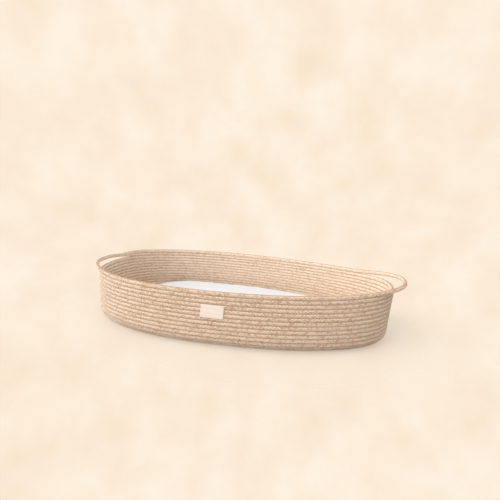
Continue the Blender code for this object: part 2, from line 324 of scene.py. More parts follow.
# Zigzag stitches cross a groove from one row to the next, along a path that lies in the groove.
def makeStitchTree():
    tree = bpy.data.node_groups.new("zigzagStitches", "GeometryNodeTree")
    addSockets(
        tree,
        (
            ("Geometry", "NodeSocketGeometry"),
            ("Step", "NodeSocketFloat"),
            ("Reach", "NodeSocketFloat"),
            ("Thread Radius", "NodeSocketFloat"),
            ("Sides", "NodeSocketInt"),
            ("Material", "NodeSocketMaterial"),
        ),
        (("Geometry", "NodeSocketGeometry"),),
    )
    given = addNode(tree, "NodeGroupInput")
    result = addNode(tree, "NodeGroupOutput")
    even = addNode(tree, "GeometryNodeResampleCurve", mode="LENGTH")
    tree.links.new(given.outputs["Geometry"], even.inputs["Curve"])
    tree.links.new(given.outputs["Step"], even.inputs["Length"])
    index = addNode(tree, "GeometryNodeInputIndex")
    parity = mathNode(tree, "MODULO", index.outputs[0], 2.0)
    side = mathNode(tree, "SUBTRACT", mathNode(tree, "MULTIPLY", parity, 2.0), 1.0)
    reach = mathNode(tree, "MULTIPLY", side, given.outputs["Reach"])
    tangent = addNode(tree, "GeometryNodeInputTangent")
    normal = addNode(tree, "GeometryNodeInputNormal")
    across = addNode(tree, "ShaderNodeVectorMath", operation="CROSS_PRODUCT")
    tree.links.new(tangent.outputs[0], across.inputs[0])
    tree.links.new(normal.outputs[0], across.inputs[1])
    shift = addNode(tree, "ShaderNodeVectorMath", operation="SCALE")
    tree.links.new(across.outputs[0], shift.inputs[0])
    tree.links.new(reach, shift.inputs["Scale"])
    zigzag = addNode(tree, "GeometryNodeSetPosition")
    tree.links.new(even.outputs[0], zigzag.inputs["Geometry"])
    tree.links.new(shift.outputs[0], zigzag.inputs["Offset"])
    circle = addNode(tree, "GeometryNodeCurvePrimitiveCircle")
    tree.links.new(given.outputs["Sides"], circle.inputs["Resolution"])
    tree.links.new(given.outputs["Thread Radius"], circle.inputs["Radius"])
    tube = addNode(tree, "GeometryNodeCurveToMesh")
    tree.links.new(zigzag.outputs[0], tube.inputs["Curve"])
    tree.links.new(circle.outputs["Curve"], tube.inputs["Profile Curve"])
    tube.inputs["Fill Caps"].default_value = True
    finishTree(tree, tube.outputs[0], given.outputs["Material"], result)
    return tree


def finishTree(tree, geometry, material, result):
    smooth = addNode(tree, "GeometryNodeSetShadeSmooth")
    real = addNode(tree, "GeometryNodeRealizeInstances")
    finish = addNode(tree, "GeometryNodeSetMaterial")
    tree.links.new(geometry, smooth.inputs["Geometry"])
    tree.links.new(smooth.outputs[0], real.inputs[0])
    tree.links.new(real.outputs[0], finish.inputs["Geometry"])
    tree.links.new(material, finish.inputs["Material"])
    tree.links.new(finish.outputs[0], result.inputs[0])


# Shader groups

# Two sets of threads cross over and under each other. Each line is a number that grows by 1 from one
# thread to the next. It gives the height of the upper thread and a tone for each crossing.
def crossThreads(tree, lines):
    cells = []
    waves = []
    for line in lines:
        cells.append(mathNode(tree, "FLOOR", line))
        inside = mathNode(tree, "FRACT", line)
        waves.append(mathNode(tree, "SINE", mathNode(tree, "MULTIPLY", inside, math.pi)))
    both = mathNode(tree, "ADD", cells[0], cells[1])
    over = mathNode(tree, "ABSOLUTE", mathNode(tree, "MODULO", both, 2.0))
    swell = addNode(tree, "ShaderNodeMix", data_type="FLOAT")
    tree.links.new(over, swell.inputs[0])
    tree.links.new(waves[0], swell.inputs[2])
    tree.links.new(waves[1], swell.inputs[3])
    spot = addNode(tree, "ShaderNodeCombineXYZ")
    tree.links.new(cells[0], spot.inputs[0])
    tree.links.new(cells[1], spot.inputs[1])
    speckle = addNode(tree, "ShaderNodeTexWhiteNoise", noise_dimensions="2D")
    tree.links.new(spot.outputs[0], speckle.inputs["Vector"])
    return swell.outputs[0], speckle.outputs["Value"]


# Strands wound round the rope both ways, with painted shade where they dip between each other
def makeBraidGroup():
    tree = bpy.data.node_groups.new("braidedSleeve", "ShaderNodeTree")
    addSockets(
        tree,
        (("Strands", "NodeSocketFloat"), ("Pitch", "NodeSocketFloat")),
        (("Height", "NodeSocketFloat"), ("Tone", "NodeSocketFloat"), ("Gap Shade", "NodeSocketFloat")),
    )
    given = addNode(tree, "NodeGroupInput")
    result = addNode(tree, "NodeGroupOutput")
    uv = addNode(tree, "ShaderNodeUVMap", uv_map="UVMap")
    parts = addNode(tree, "ShaderNodeSeparateXYZ")
    tree.links.new(uv.outputs[0], parts.inputs[0])
    along = mathNode(tree, "DIVIDE", parts.outputs[0], given.outputs["Pitch"])
    around = mathNode(tree, "MULTIPLY", parts.outputs[1], given.outputs["Strands"])
    lines = [mathNode(tree, operation, around, along) for operation in ("ADD", "SUBTRACT")]
    height, tone = crossThreads(tree, lines)
    # painted shade where the strands dip low between each other
    gapShade = mathNode(tree, "SUBTRACT", 1.0, mathNode(tree, "POWER", height, 0.5))
    tree.links.new(height, result.inputs["Height"])
    tree.links.new(tone, result.inputs["Tone"])
    tree.links.new(gapShade, result.inputs["Gap Shade"])
    return tree


# Plain weave on the piece's own coordinates, for the label and the pad's cover.
def makeWeaveGroup():
    tree = bpy.data.node_groups.new("plainWeave", "ShaderNodeTree")
    addSockets(
        tree,
        (("Vector", "NodeSocketVector"), ("Threads", "NodeSocketFloat")),
        (("Height", "NodeSocketFloat"), ("Tone", "NodeSocketFloat")),
    )
    given = addNode(tree, "NodeGroupInput")
    result = addNode(tree, "NodeGroupOutput")
    parts = addNode(tree, "ShaderNodeSeparateXYZ")
    tree.links.new(given.outputs["Vector"], parts.inputs[0])
    lines = [mathNode(tree, "MULTIPLY", parts.outputs[axis], given.outputs["Threads"]) for axis in (0, 1)]
    height, tone = crossThreads(tree, lines)
    tree.links.new(height, result.inputs["Height"])
    tree.links.new(tone, result.inputs["Tone"])
    return tree


# Materials

finishes = {
    "rope": {
        "pale": (0.99, 0.80, 0.635),
        "tan": (0.62, 0.38, 0.225),
        "shade": (0.42, 0.215, 0.10),
        "roughness": 0.92,
        "sheen": 0.40,
        "sheenTint": (1.0, 0.86, 0.72),
        "strands": 6.0,
        "pitch": 0.0074,
        "fleckPower": 2.6,  # the higher, the fewer strands are tan
        "heatherScale": 420.0,
        "heatherShare": 0.8,
        "toneCut": 0.44,
        "driftScale": 9.0,
        "driftShare": 0.25,
        "driftCut": 0.12,
        "gapShadeShare": 0.80,
        "innerCalm": 0.42,
        "fuzzShare": 0.35,
        "bumpStrength": 0.8,
        "bumpDepth": 0.0007,
    },
    "thread": {
        "colour": (0.96, 0.80, 0.63),
        "roughness": 0.75,
        "sheen": 0.1,
        "plyScale": 900.0,
        "plyDarkening": 0.8,
        "bumpStrength": 0.3,
        "bumpDepth": 0.0002,
    },
    "cloth": {
        "roughness": 0.88,
        "sheen": 0.2,
        "toneShare": 0.35,
        "lowShadeShare": 0.45,
        "toneAndShadeDarkening": 0.86,
        "bumpStrength": 0.5,
        "bumpDepth": 0.0002,
    },
    "label": {"colour": (0.94, 0.81, 0.71), "threads": 1600.0, "turn": (math.radians(90), 0, 0)},
    "padCover": {"colour": (0.82, 0.835, 0.85), "threads": 1100.0, "turn": None},
}

# Bands round the rope, as start and end of a smooth ramp and its top. Sides are 1 where the rope meets
# the next rows, and facing is -1 on the side that looks into the basket. The two groove bands place
# painted shade where the rows meet.
ropeBands = {
    "grooveShadeBySide": (0.68, 0.95, 0.70),
    "innerGrooveShadeBySide": (0.60, 0.95, 0.60),
    "innerByFacing": (0.25, -0.25, 1.0),
}


def newMaterial(name, colour, roughness, sheen=0.0):
    material = bpy.data.materials.new(name)
    material.use_nodes = True
    material.diffuse_color = (*colour, 1.0)
    shader = material.node_tree.nodes["Principled BSDF"]
    shader.inputs["Base Color"].default_value = (*colour, 1.0)
    shader.inputs["Roughness"].default_value = roughness
    shader.inputs["Specular IOR Level"].default_value = 0.25
    if sheen:
        shader.inputs["Sheen Weight"].default_value = sheen
        shader.inputs["Sheen Roughness"].default_value = 0.5
    return material, material.node_tree, shader


def mixColours(tree, share, first, second):
    node = addNode(tree, "ShaderNodeMix", data_type="RGBA")
    if isinstance(share, bpy.types.NodeSocket):
        tree.links.new(share, node.inputs[0])
    else:
        node.inputs[0].default_value = share
    for socket, value in ((node.inputs[6], first), (node.inputs[7], second)):
        if isinstance(value, bpy.types.NodeSocket):
            tree.links.new(value, socket)
        else:
            socket.default_value = (*value, 1.0)
    return node.outputs[2]


def darker(colour, share):
    return [value * share for value in colour]


def addBump(tree, shader, height, strength, distance):
    bump = addNode(tree, "ShaderNodeBump")
    bump.inputs["Strength"].default_value = strength
    bump.inputs["Distance"].default_value = distance
    tree.links.new(height, bump.inputs["Height"])
    tree.links.new(bump.outputs[0], shader.inputs["Normal"])


def objectNoise(tree, scale, detail=2.0, roughness=0.5):
    place = addNode(tree, "ShaderNodeTexCoord")
    cloud = addNode(tree, "ShaderNodeTexNoise")
    cloud.inputs["Scale"].default_value = scale
    cloud.inputs["Detail"].default_value = detail
    cloud.inputs["Roughness"].default_value = roughness
    tree.links.new(place.outputs["Object"], cloud.inputs["Vector"])
    return cloud.outputs["Fac"]


def smoothRamp(tree, value, start, end, top=1.0, bottom=0.0):
    ramp = addNode(tree, "ShaderNodeMapRange", interpolation_type="SMOOTHSTEP")
    ramp.inputs["From Min"].default_value = start
    ramp.inputs["From Max"].default_value = end
    ramp.inputs["To Min"].default_value = bottom
    ramp.inputs["To Max"].default_value = top
    tree.links.new(value, ramp.inputs["Value"])
    return ramp.outputs[0]


# Two masks round the rope: painted shade on the sides that meet the next rows, where the light doesn't
# reach, and the face that looks into the basket, which gets darker painted shade in its grooves.
def ropeMasks(tree):
    uv = addNode(tree, "ShaderNodeUVMap", uv_map="UVMap")
    parts = addNode(tree, "ShaderNodeSeparateXYZ")
    tree.links.new(uv.outputs[0], parts.inputs[0])
    angle = mathNode(tree, "MULTIPLY", parts.outputs[1], 2 * math.pi)
    side = mathNode(tree, "ABSOLUTE", mathNode(tree, "SINE", angle))
    inner = smoothRamp(tree, mathNode(tree, "COSINE", angle), *ropeBands["innerByFacing"])
    grooveShade = smoothRamp(tree, side, *ropeBands["grooveShadeBySide"])
    innerGrooveShade = smoothRamp(tree, side, *ropeBands["innerGrooveShadeBySide"])
    deeperShade = mathNode(tree, "MULTIPLY", innerGrooveShade, inner)
    return mathNode(tree, "MAXIMUM", grooveShade, deeperShade), inner


def makeRopeMaterial(braid):
    look = finishes["rope"]
    material, tree, shader = newMaterial("cottonRope", look["pale"], look["roughness"], look["sheen"])
    shader.inputs["Sheen Tint"].default_value = (*look["sheenTint"], 1.0)
    sleeve = addNode(tree, "ShaderNodeGroup", node_tree=braid)
    sleeve.inputs["Strands"].default_value = look["strands"]
    sleeve.inputs["Pitch"].default_value = look["pitch"]
    heather = objectNoise(tree, look["heatherScale"], 3.0, 0.6)
    fleck = mathNode(tree, "POWER", sleeve.outputs["Tone"], look["fleckPower"])
    tone = mathNode(tree, "ADD", fleck, mathNode(tree, "MULTIPLY", heather, look["heatherShare"]))
    tone = mathNode(tree, "SUBTRACT", tone, look["toneCut"], clamp=True)
    drift = mathNode(tree, "MULTIPLY", objectNoise(tree, look["driftScale"]), look["driftShare"])
    drift = mathNode(tree, "SUBTRACT", drift, look["driftCut"])
    tone = mathNode(tree, "ADD", tone, drift, clamp=True)
    # painted shade in the grooves where rows meet, darker on the face that looks into the basket
    grooveShade, inner = ropeMasks(tree)
    # that face also gets fewer tan flecks and less painted shade between the strands
    calm = mathNode(tree, "SUBTRACT", 1.0, mathNode(tree, "MULTIPLY", inner, look["innerCalm"]))
    tone = mathNode(tree, "MULTIPLY", tone, calm)
    colour = mixColours(tree, tone, look["pale"], look["tan"])
    gapShade = mathNode(tree, "MULTIPLY", sleeve.outputs["Gap Shade"], look["gapShadeShare"], clamp=True)
    gapShade = mathNode(tree, "MULTIPLY", gapShade, calm)
    # painted shade between the strands
    colour = mixColours(tree, gapShade, colour, look["shade"])
    # painted shade in the grooves between rows
    colour = mixColours(tree, grooveShade, colour, look["shade"])
    tree.links.new(colour, shader.inputs["Base Color"])
    fuzz = mathNode(tree, "MULTIPLY", heather, look["fuzzShare"])
    height = mathNode(tree, "ADD", sleeve.outputs["Height"], fuzz)
    addBump(tree, shader, height, look["bumpStrength"], look["bumpDepth"])
    return material


def makeThreadMaterial():
    look = finishes["thread"]
    material, tree, shader = newMaterial("sewingThread", look["colour"], look["roughness"], look["sheen"])
    ply = objectNoise(tree, look["plyScale"], 1.0)
    colour = mixColours(tree, ply, look["colour"], darker(look["colour"], look["plyDarkening"]))
    tree.links.new(colour, shader.inputs["Base Color"])
    addBump(tree, shader, ply, look["bumpStrength"], look["bumpDepth"])
    return material


def makeClothMaterial(name, key, weave):
    look = {**finishes["cloth"], **finishes[key]}
    material, tree, shader = newMaterial(name, look["colour"], look["roughness"], look["sheen"])
    place = addNode(tree, "ShaderNodeTexCoord")
    vector = place.outputs["Object"]
    if look["turn"]:
        turn = addNode(tree, "ShaderNodeMapping")
        turn.inputs["Rotation"].default_value = look["turn"]
        tree.links.new(vector, turn.inputs["Vector"])
        vector = turn.outputs[0]
    cloth = addNode(tree, "ShaderNodeGroup", node_tree=weave)
    cloth.inputs["Threads"].default_value = look["threads"]
    tree.links.new(vector, cloth.inputs["Vector"])
    toneAndShade = mathNode(tree, "MULTIPLY", cloth.outputs["Tone"], look["toneShare"])
    # painted shade where the weave's threads dip low, on top of each crossing's own tone
    low = mathNode(tree, "SUBTRACT", 1.0, cloth.outputs["Height"])
    toneAndShade = mathNode(tree, "ADD", toneAndShade, mathNode(tree, "MULTIPLY", low, look["lowShadeShare"]), clamp=True)
    colour = mixColours(tree, toneAndShade, look["colour"], darker(look["colour"], look["toneAndShadeDarkening"]))
    tree.links.new(colour, shader.inputs["Base Color"])
    addBump(tree, shader, cloth.outputs["Height"], look["bumpStrength"], look["bumpDepth"])
    return material


# Rope basket

rope = {
    "halfDepth": 0.0040,
    "halfHeight": 0.0048,  # rows are squashed together, so the rope is a little taller than a row
    "squareness": 0.82,
    "sides": 16,
    "pointsPerRow": 144,
    "floorPointsPerRow": 96,
}
stitching = {
    "step": 0.0031,
    "reach": 0.0028,
    "threadRadius": 0.0008,
    "sides": 4,
    "standOff": 0.0037,
    "floorStandOff": 0.0031,
    "inside": {"reach": 0.0020, "threadRadius": 0.0005, "standOff": 0.0033},
}


def makeRope(name, points, tilts, tree, material, sizes=None):
    carrier = pathObject(name + "Path", points, tilts)
    if sizes is not None:
        carrier.data.splines[0].points.foreach_set("radius", sizes)
    values = {
        "Half Depth": rope["halfDepth"],
        "Half Height": rope["halfHeight"],
        "Squareness": rope["squareness"],
        "Sides": rope["sides"],
        "Material": material,
    }
    return applyTree(carrier, tree, values, name)


def rowStretch(start, end, perRow):
    return np.linspace(start, end, int(round((end - start) * perRow)) + 1)


# The rope's cut end runs on over the root of the left handle and thins out.
def tailPoints():
    start, end = handleRows("left")
    rows = np.linspace(start, start + basket["tailShare"], basket["tailPoints"])
    points, tilts = bulge(handles["left"], rows, start, end)
    fade = np.linspace(1, 0, len(rows)) ** basket["tailPower"]
    points[:, 2] += basket["rowPitch"] * fade
    return points, tilts, basket["tailEndSize"] + (1 - basket["tailEndSize"]) * fade


def makeBasketRopes(tree, material):
    row = basket["wallRows"] + 1
    left, right = handleRows("left"), handleRows("right")
    count, floorCount = rope["pointsPerRow"], rope["floorPointsPerRow"]
    wallNodes = ("wall_coil_foot", "wall_coil_lower", "wall_coil_upper")
    stretches = {
        "floorSpiral": (("floor_coil",), "rope_floor", basket["floorInnerRow"], 1.0, floorCount),
        "wallRows": (wallNodes, "rope_wall", 1.0, left[0], count),
        "rimRowFront": (("rim_rope_front",), "rope_rim", left[1], right[0], count),
        "rimRowBack": (("rim_rope_back",), "rope_rim", right[1], row + 1 - basket["ropeCutShare"], count),
    }
    pieces = []
    for name, (nodes, slot, start, end, perRow) in stretches.items():
        points, tilts = rowPoints(rowStretch(start, end, perRow))
        sizes = None
        if name == "rimRowBack":
            tail, tailTilts, tailSizes = tailPoints()
            sizes = np.concatenate([np.ones(len(points)), tailSizes])
            points, tilts = np.vstack([points, tail]), np.concatenate([tilts, tailTilts])
        piece = makeRope(name, points, tilts, tree, material, sizes)
        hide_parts(*nodes)
        pieces.append(piece)
    for side in ("left", "right"):
        points, tilts, sizes = handlePoints(side)
        piece = makeRope(side + "HandleRope", points, tilts, tree, material, sizes)
        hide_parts("handle_rope_" + side)
        pieces.append(piece)
    print("ropes:", sum(len(piece.data.polygons) for piece in pieces), "faces")
    return pieces


def makeStitches(tree, material):
    row = basket["wallRows"] + 1
    left, right = handleRows("left"), handleRows("right")
    spans = {
        "wallStitches": (1.0, row - 1.0, rope["pointsPerRow"]),
        "rimStitchesFront": (left[1] - 1, right[0] - 1, rope["pointsPerRow"]),
        "rimStitchesBack": (right[1] - 1, row - basket["ropeCutShare"], rope["pointsPerRow"]),
        "floorStitches": (basket["floorInnerRow"] - 0.5, 1.0, rope["floorPointsPerRow"]),
    }
    pieces = []
    for name, (start, end, perRow) in spans.items():
        for face, sign in (("Outside", 1), ("Inside", -1)):
            thread = stitching if sign > 0 else stitching["inside"]
            standOff = stitching["floorStandOff"] if name == "floorStitches" else thread["standOff"]
            points, tilts = rowPoints(rowStretch(start, end, perRow), sign * standOff, 0.5)
            carrier = pathObject(name + face + "Path", points, tilts)
            values = {
                "Step": stitching["step"],
                "Reach": thread["reach"],
                "Thread Radius": thread["threadRadius"],
                "Sides": stitching["sides"],
                "Material": material,
            }
            piece = applyTree(carrier, tree, values, name + face)
            pieces.append(piece)
    print("stitches:", sum(len(piece.data.polygons) for piece in pieces), "faces")
    return pieces


# Label

label = {
    "width": 0.050,
    "height": 0.027,
    "thickness": 0.0012,
    "turn": math.radians(267.4),
    "row": 10.2,
    "readStep": 0.02,
    "standOff": 0.0008,
    "columns": 36,
    "lines": 22,
    "hang": 0.00016,  # how far the cloth follows the rows under it
    "hangSkew": 4,
    "edgeShare": 0.3,
    "stitchMargin": 0.0022,
    "stitches": 7,
    "stitchHalfShare": 0.32,
    "threadRadius": 0.0004,
}


def labelPoint(across, up, out):
    along = label["row"] * basket["rowPitch"] + up
    step = label["readStep"]
    ends, _, _ = sectionPoint(label["turn"] + np.array([-step, step]), np.full(2, along))
    turn = label["turn"] + across * 2 * step / np.linalg.norm(ends[1] - ends[0])
    place, way, _ = sectionPoint(np.array([turn]), np.array([along]))
    phase = 2 * math.pi * along / basket["rowPitch"] + label["hangSkew"] * across / label["width"]
    ripple = label["hang"] * math.cos(phase)
    reach = basket["ropeRadius"] + label["standOff"] + out + ripple
    return Vector(place[0] + way[0] * reach)


def makeLabel(material, thread):
    shape = bmesh.new()
    grid = []
    for line in range(label["lines"] + 1):
        up = (line / label["lines"] - 0.5) * label["height"]
        rowOfPoints = []
        for column in range(label["columns"] + 1):
            across = (column / label["columns"] - 0.5) * label["width"]
            rowOfPoints.append(shape.verts.new(labelPoint(across, up, 0.0)))
        grid.append(rowOfPoints)
    for lower, upper in zip(grid, grid[1:]):
        for column in range(label["columns"]):
            shape.faces.new((lower[column], lower[column + 1], upper[column + 1], upper[column]))
    bmesh.ops.recalc_face_normals(shape, faces=shape.faces)
    shape.normal_update()
    middle = labelPoint(0, 0, 0)
    if shape.faces[0].normal.dot(Vector((middle.x, middle.y, 0))) < 0:
        bmesh.ops.reverse_faces(shape, faces=shape.faces)
    piece = meshObject("wovenLabel", shape, material)
    wall = piece.modifiers.new("thickness", "SOLIDIFY")
    wall.thickness = label["thickness"]
    wall.offset = 1.0
    soften = piece.modifiers.new("edge", "BEVEL")
    soften.width = label["thickness"] * label["edgeShare"]
    soften.segments = 2
    soften.limit_method = "ANGLE"
    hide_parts("label")
    stitches = [makeLabelStitches(side, thread) for side in (-1, 1)]
    return [piece] + stitches


def makeLabelStitches(side, material):
    name = "labelStitchesLeft" if side < 0 else "labelStitchesRight"
    across = side * (label["width"] / 2 - label["stitchMargin"])
    seam = label["height"] - 2 * label["stitchMargin"]
    half = label["stitchHalfShare"] * seam / label["stitches"]
    shape = bmesh.new()
    for index in range(label["stitches"]):
        up = ((index + 0.5) / label["stitches"] - 0.5) * seam
        low = labelPoint(across, up - half, label["thickness"])
        high = labelPoint(across, up + half, label["thickness"])
        made = bmesh.ops.create_icosphere(shape, subdivisions=1, radius=1.0)
        way = high - low
        turn = Vector((0, 0, 1)).rotation_difference(way)
        size = Vector((label["threadRadius"], label["threadRadius"], way.length / 2))
        for vert in made["verts"]:
            vert.co = turn @ (vert.co * size) + (low + high) / 2
    piece = meshObject(name, shape, material)
    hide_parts("label_stitches_left" if side < 0 else "label_stitches_right")
    return piece


# Padded insert

pad = {
    "halfLength": 0.296,
    "halfWidth": 0.1525,
    "power": 2.5,
    "shift": (-0.006, 0.0075),
    "bottom": 0.0083,
    "lowSeam": 0.0103,
    "highSeam": 0.0262,
    "top": 0.0340,
    "ringPoints": 96,
    "shrink": 0.0022,  # the form starts smaller, by about as much as it swells
    "voxel": 0.005,
    "pressure": 4.0,
    "clothQuality": 5,
    "swellLimit": 0.005,
    "frames": 20,
    "drawIn": 0.0022,
    "edgeStart": 0.75,  # share of the way out from which the pad counts as its edge
    "topEase": 0.004,
    "broadFold": 0.0022,
    "broadScale": (7, 26),
    "broadSkew": 9,
    "smallFold": 0.0006,
    "smallScale": (30, 38),
    "gatherDepth": 0.0022,
    "gathers": 14,
    "pipingRadius": 0.0012,
    "pipingPoints": 180,
    "pipingSearch": 0.004,
    "lowSeamInset": 0.0045,
}


def padOutline(turn, inset):
    shape = (pad["halfLength"] - inset, pad["halfWidth"] - inset, pad["power"], pad["power"], 0.0)
    place = ovalPoint(np.array([turn]), shape)[0]
    return place[0] + pad["shift"][0], place[1] + pad["shift"][1]


# A closed form from the middle of the underside up to the middle of the top. Each ring of points has an
# inset from the outline and a height.
def padCage():
    profile = (
        (0.060, pad["bottom"]),
        (0.0065, pad["bottom"]),
        (pad["lowSeamInset"], pad["lowSeam"]),
        (0.0010, (pad["lowSeam"] + pad["highSeam"]) / 2),
        (0.0, pad["highSeam"]),
        (0.0020, pad["highSeam"] + 0.0030),
        (0.020, pad["top"] - 0.0025),
        (0.070, pad["top"]),
        (0.120, pad["top"] + 0.0005),
    )
    shape = bmesh.new()
    rings = []
    count = pad["ringPoints"]
    for inset, height in profile:
        ring = []
        for index in range(count):
            x, y = padOutline(2 * math.pi * index / count, inset + pad["shrink"])
            ring.append(shape.verts.new((x, y, height)))
        rings.append(ring)
    for lower, upper in zip(rings, rings[1:]):
        for index in range(count):
            other = (index + 1) % count
            shape.faces.new((lower[index], lower[other], upper[other], upper[index]))
    shape.faces.new(rings[0])
    shape.faces.new(rings[-1])
    bmesh.ops.recalc_face_normals(shape, faces=shape.faces)
    return meshObject("paddedInsert", shape, smooth=False)


def applyModifiers(piece):
    graph = bpy.context.evaluated_depsgraph_get()
    mesh = bpy.data.meshes.new_from_object(piece.evaluated_get(graph))
    piece.modifiers.clear()
    piece.data = mesh


# Remeshes the pad evenly and blows it up as cloth. It gives the swelled points.
def inflate(piece):
    remesh = piece.modifiers.new("voxels", "REMESH")
    remesh.mode = "VOXEL"
    remesh.voxel_size = pad["voxel"]
    applyModifiers(piece)
    start = np.array([vert.co[:] for vert in piece.data.vertices])
    cloth = piece.modifiers.new("filling", "CLOTH")
    cloth.settings.quality = pad["clothQuality"]
    cloth.settings.use_pressure = True
    cloth.settings.uniform_pressure_force = pad["pressure"]
    cloth.settings.effector_weights.gravity = 0.0
    cloth.point_cache.frame_start = 1
    cloth.point_cache.frame_end = pad["frames"]
    scene = bpy.context.scene
    for step in range(1, pad["frames"] + 1):
        scene.frame_set(step)
    applyModifiers(piece)
    scene.frame_set(1)
    end = np.array([vert.co[:] for vert in piece.data.vertices])
    moved = end - start
    length = np.linalg.norm(moved, axis=1, keepdims=True)
    return start + moved * np.minimum(1.0, pad["swellLimit"] / np.maximum(length, 1e-9))


# Draws the sides in between the seams and gives the cover its soft folds: broad ones on top, and
# short gathers that run in from the seam.
def settlePad(piece, points):
    middle = (pad["lowSeam"] + pad["highSeam"]) / 2
    half = (pad["highSeam"] - pad["lowSeam"]) / 2
    shift = Vector((*pad["shift"], 0))
    for vert, point in zip(piece.data.vertices, points):
        place = Vector(point)
        spread = place - shift
        spread = Vector((spread.x / pad["halfLength"], spread.y / pad["halfWidth"], 0))
        reach = (abs(spread.x) ** pad["power"] + abs(spread.y) ** pad["power"]) ** (1 / pad["power"])
        edge = min(1.0, max(0.0, (reach - pad["edgeStart"]) / (1 - pad["edgeStart"])))
        level = min(1.0, abs(place.z - middle) / half)
        way = Vector((spread.x / pad["halfLength"], spread.y / pad["halfWidth"], 0)).normalized()
        place -= way * (pad["drawIn"] * math.cos(math.pi / 2 * level) ** 2 * edge)
        top = min(1.0, max(0.0, (place.z - pad["highSeam"]) / pad["topEase"]))
        turns = math.atan2(spread.y, spread.x) * pad["gathers"]
        gather = noise.noise(Vector((math.cos(turns), math.sin(turns), reach * 3 + turns)))
        lengthScale, widthScale = pad["broadScale"]
        skewed = place.y * widthScale + place.x * pad["broadSkew"]
        broad = noise.noise(Vector((place.x * lengthScale, skewed, 1.7)))
        lengthScale, widthScale = pad["smallScale"]
        small = noise.noise(Vector((place.x * lengthScale, place.y * widthScale, 4.2)))
        ring = edge * (1 - edge) * 4
        fold = pad["broadFold"] * broad + pad["smallFold"] * small + pad["gatherDepth"] * gather * ring
        place.z = max(place.z + fold * top, pad["bottom"])
        vert.co = place


def makePad(material):
    piece = padCage()
    settlePad(piece, inflate(piece))
    finer = piece.modifiers.new("finer", "SUBSURF")
    finer.levels = 1
    finer.render_levels = 1
    applyModifiers(piece)
    piece.data.materials.clear()
    piece.data.materials.append(material)
    shadeSmooth(piece.data)
    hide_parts("pad_top_cover", "pad_side_band", "pad_bottom_cover", "pad_foam_core")
    pieces = [piece]
    graph = bpy.context.evaluated_depsgraph_get()
    surface = BVHTree.FromObject(piece, graph)
    seams = (("topPiping", pad["highSeam"], 0.0), ("bottomPiping", pad["lowSeam"], pad["lowSeamInset"]))
    for name, height, inset in seams:
        points = []
        for index in range(pad["pipingPoints"]):
            x, y = padOutline(2 * math.pi * index / pad["pipingPoints"], inset - pad["pipingSearch"])
            near, _, _, _ = surface.find_nearest(Vector((x, y, height)))
            points.append((near.x, near.y, height))
        pieces.append(makePiping(name, points, material))
    print("pad:", len(piece.data.polygons), "faces")
    return pieces


def makePiping(name, points, material):
    curve = bpy.data.curves.new(name, "CURVE")
    curve.dimensions = "3D"
    curve.bevel_depth = pad["pipingRadius"]
    curve.bevel_resolution = 2
    spline = curve.splines.new("POLY")
    spline.points.add(len(points) - 1)
    spline.use_cyclic_u = True
    for spot, point in zip(spline.points, points):
        spot.co = (*point, 1.0)
    carrier = link(bpy.data.objects.new(name + "Path", curve))
    graph = bpy.context.evaluated_depsgraph_get()
    mesh = bpy.data.meshes.new_from_object(carrier.evaluated_get(graph))
    bpy.data.objects.remove(carrier)
    mesh.materials.clear()
    mesh.materials.append(material)
    shadeSmooth(mesh)
    piece = link(bpy.data.objects.new(name, mesh))
    return piece


# Camera, floor and light

view = {
    "azimuth": math.radians(12.963),
    "elevation": math.radians(20.197),
    "distance": 0.8266,
    "target": (0.0, 0.0, 0.080),
    "yaw": math.radians(-2.035),
    "pitch": math.radians(-6.740),
    "roll": math.radians(-2.191),
    "focalPixels": 313.7,
    "imagePixels": 500,
}


def makeCamera():
    azimuth, elevation = view["azimuth"], view["elevation"]
    level = math.cos(elevation)
    away = Vector((math.sin(azimuth) * level, -math.cos(azimuth) * level, math.sin(elevation)))
    place = Vector(view["target"]) + away * view["distance"]
    azimuth, elevation = azimuth + view["yaw"], elevation + view["pitch"]
    level = math.cos(elevation)
    back = Vector((math.sin(azimuth) * level, -math.cos(azimuth) * level, math.sin(elevation)))
    right = Vector((math.cos(azimuth), math.sin(azimuth), 0))
    up = back.cross(right)
    roll = -view["roll"]
    turnedRight = right * math.cos(roll) + up * math.sin(roll)
    turnedUp = up * math.cos(roll) - right * math.sin(roll)
    data = bpy.data.cameras.new("camera")
    data.sensor_width = 36.0
    data.lens = view["focalPixels"] / view["imagePixels"] * data.sensor_width
    camera = link(bpy.data.objects.new("camera", data))
    matrix = camera.matrix_world.copy()
    for row in range(3):
        matrix[row][0] = turnedRight[row]
        matrix[row][1] = turnedUp[row]
        matrix[row][2] = back[row]
        matrix[row][3] = place[row]
    camera.matrix_world = matrix
    bpy.context.scene.camera = camera


studio = {
    "paper": (0.995, 0.882, 0.748),
    "paperWash": (0.950, 0.785, 0.610),
    "paperMean": (0.978, 0.845, 0.697),  # the two colours above, as far as they mix on the whole
    "washScale": 1.25,
    "washRange": (0.35, 0.70),
    "domeRadius": 5.7,
    "bounceShare": 0.5,  # the floor throws back less light than it shows, so the walls keep their shade
    "floorRadius": 6.0,
    "fadeStretch": 1.8,  # the shadow thins out in an oval, longer along the basket than across it
    "fadeStart": 0.36,
    "fadeEnd": 0.68,
    "shadowShare": 0.50,  # the rest of what the camera sees there is the backdrop
    "worldStrength": 0.86,
    "worldColour": (0.985, 0.99, 1.0),
    "sunStrength": 2.20,
    "sunColour": (1.0, 0.985, 0.965),
    "sunFrom": (-0.72, -0.42, 0.55),
    "sunAngle": math.radians(60),
}


# What a white sheet on the open floor gives back, for each colour. The paper's own colour is divided
# by it, so that the lit paper near the basket runs into the backdrop.
def lightOnFloor():
    height = Vector(studio["sunFrom"]).normalized().z
    sun = [studio["sunStrength"] / math.pi * height * value for value in studio["sunColour"]]
    return [studio["worldStrength"] * value + part for value, part in zip(studio["worldColour"], sun)]


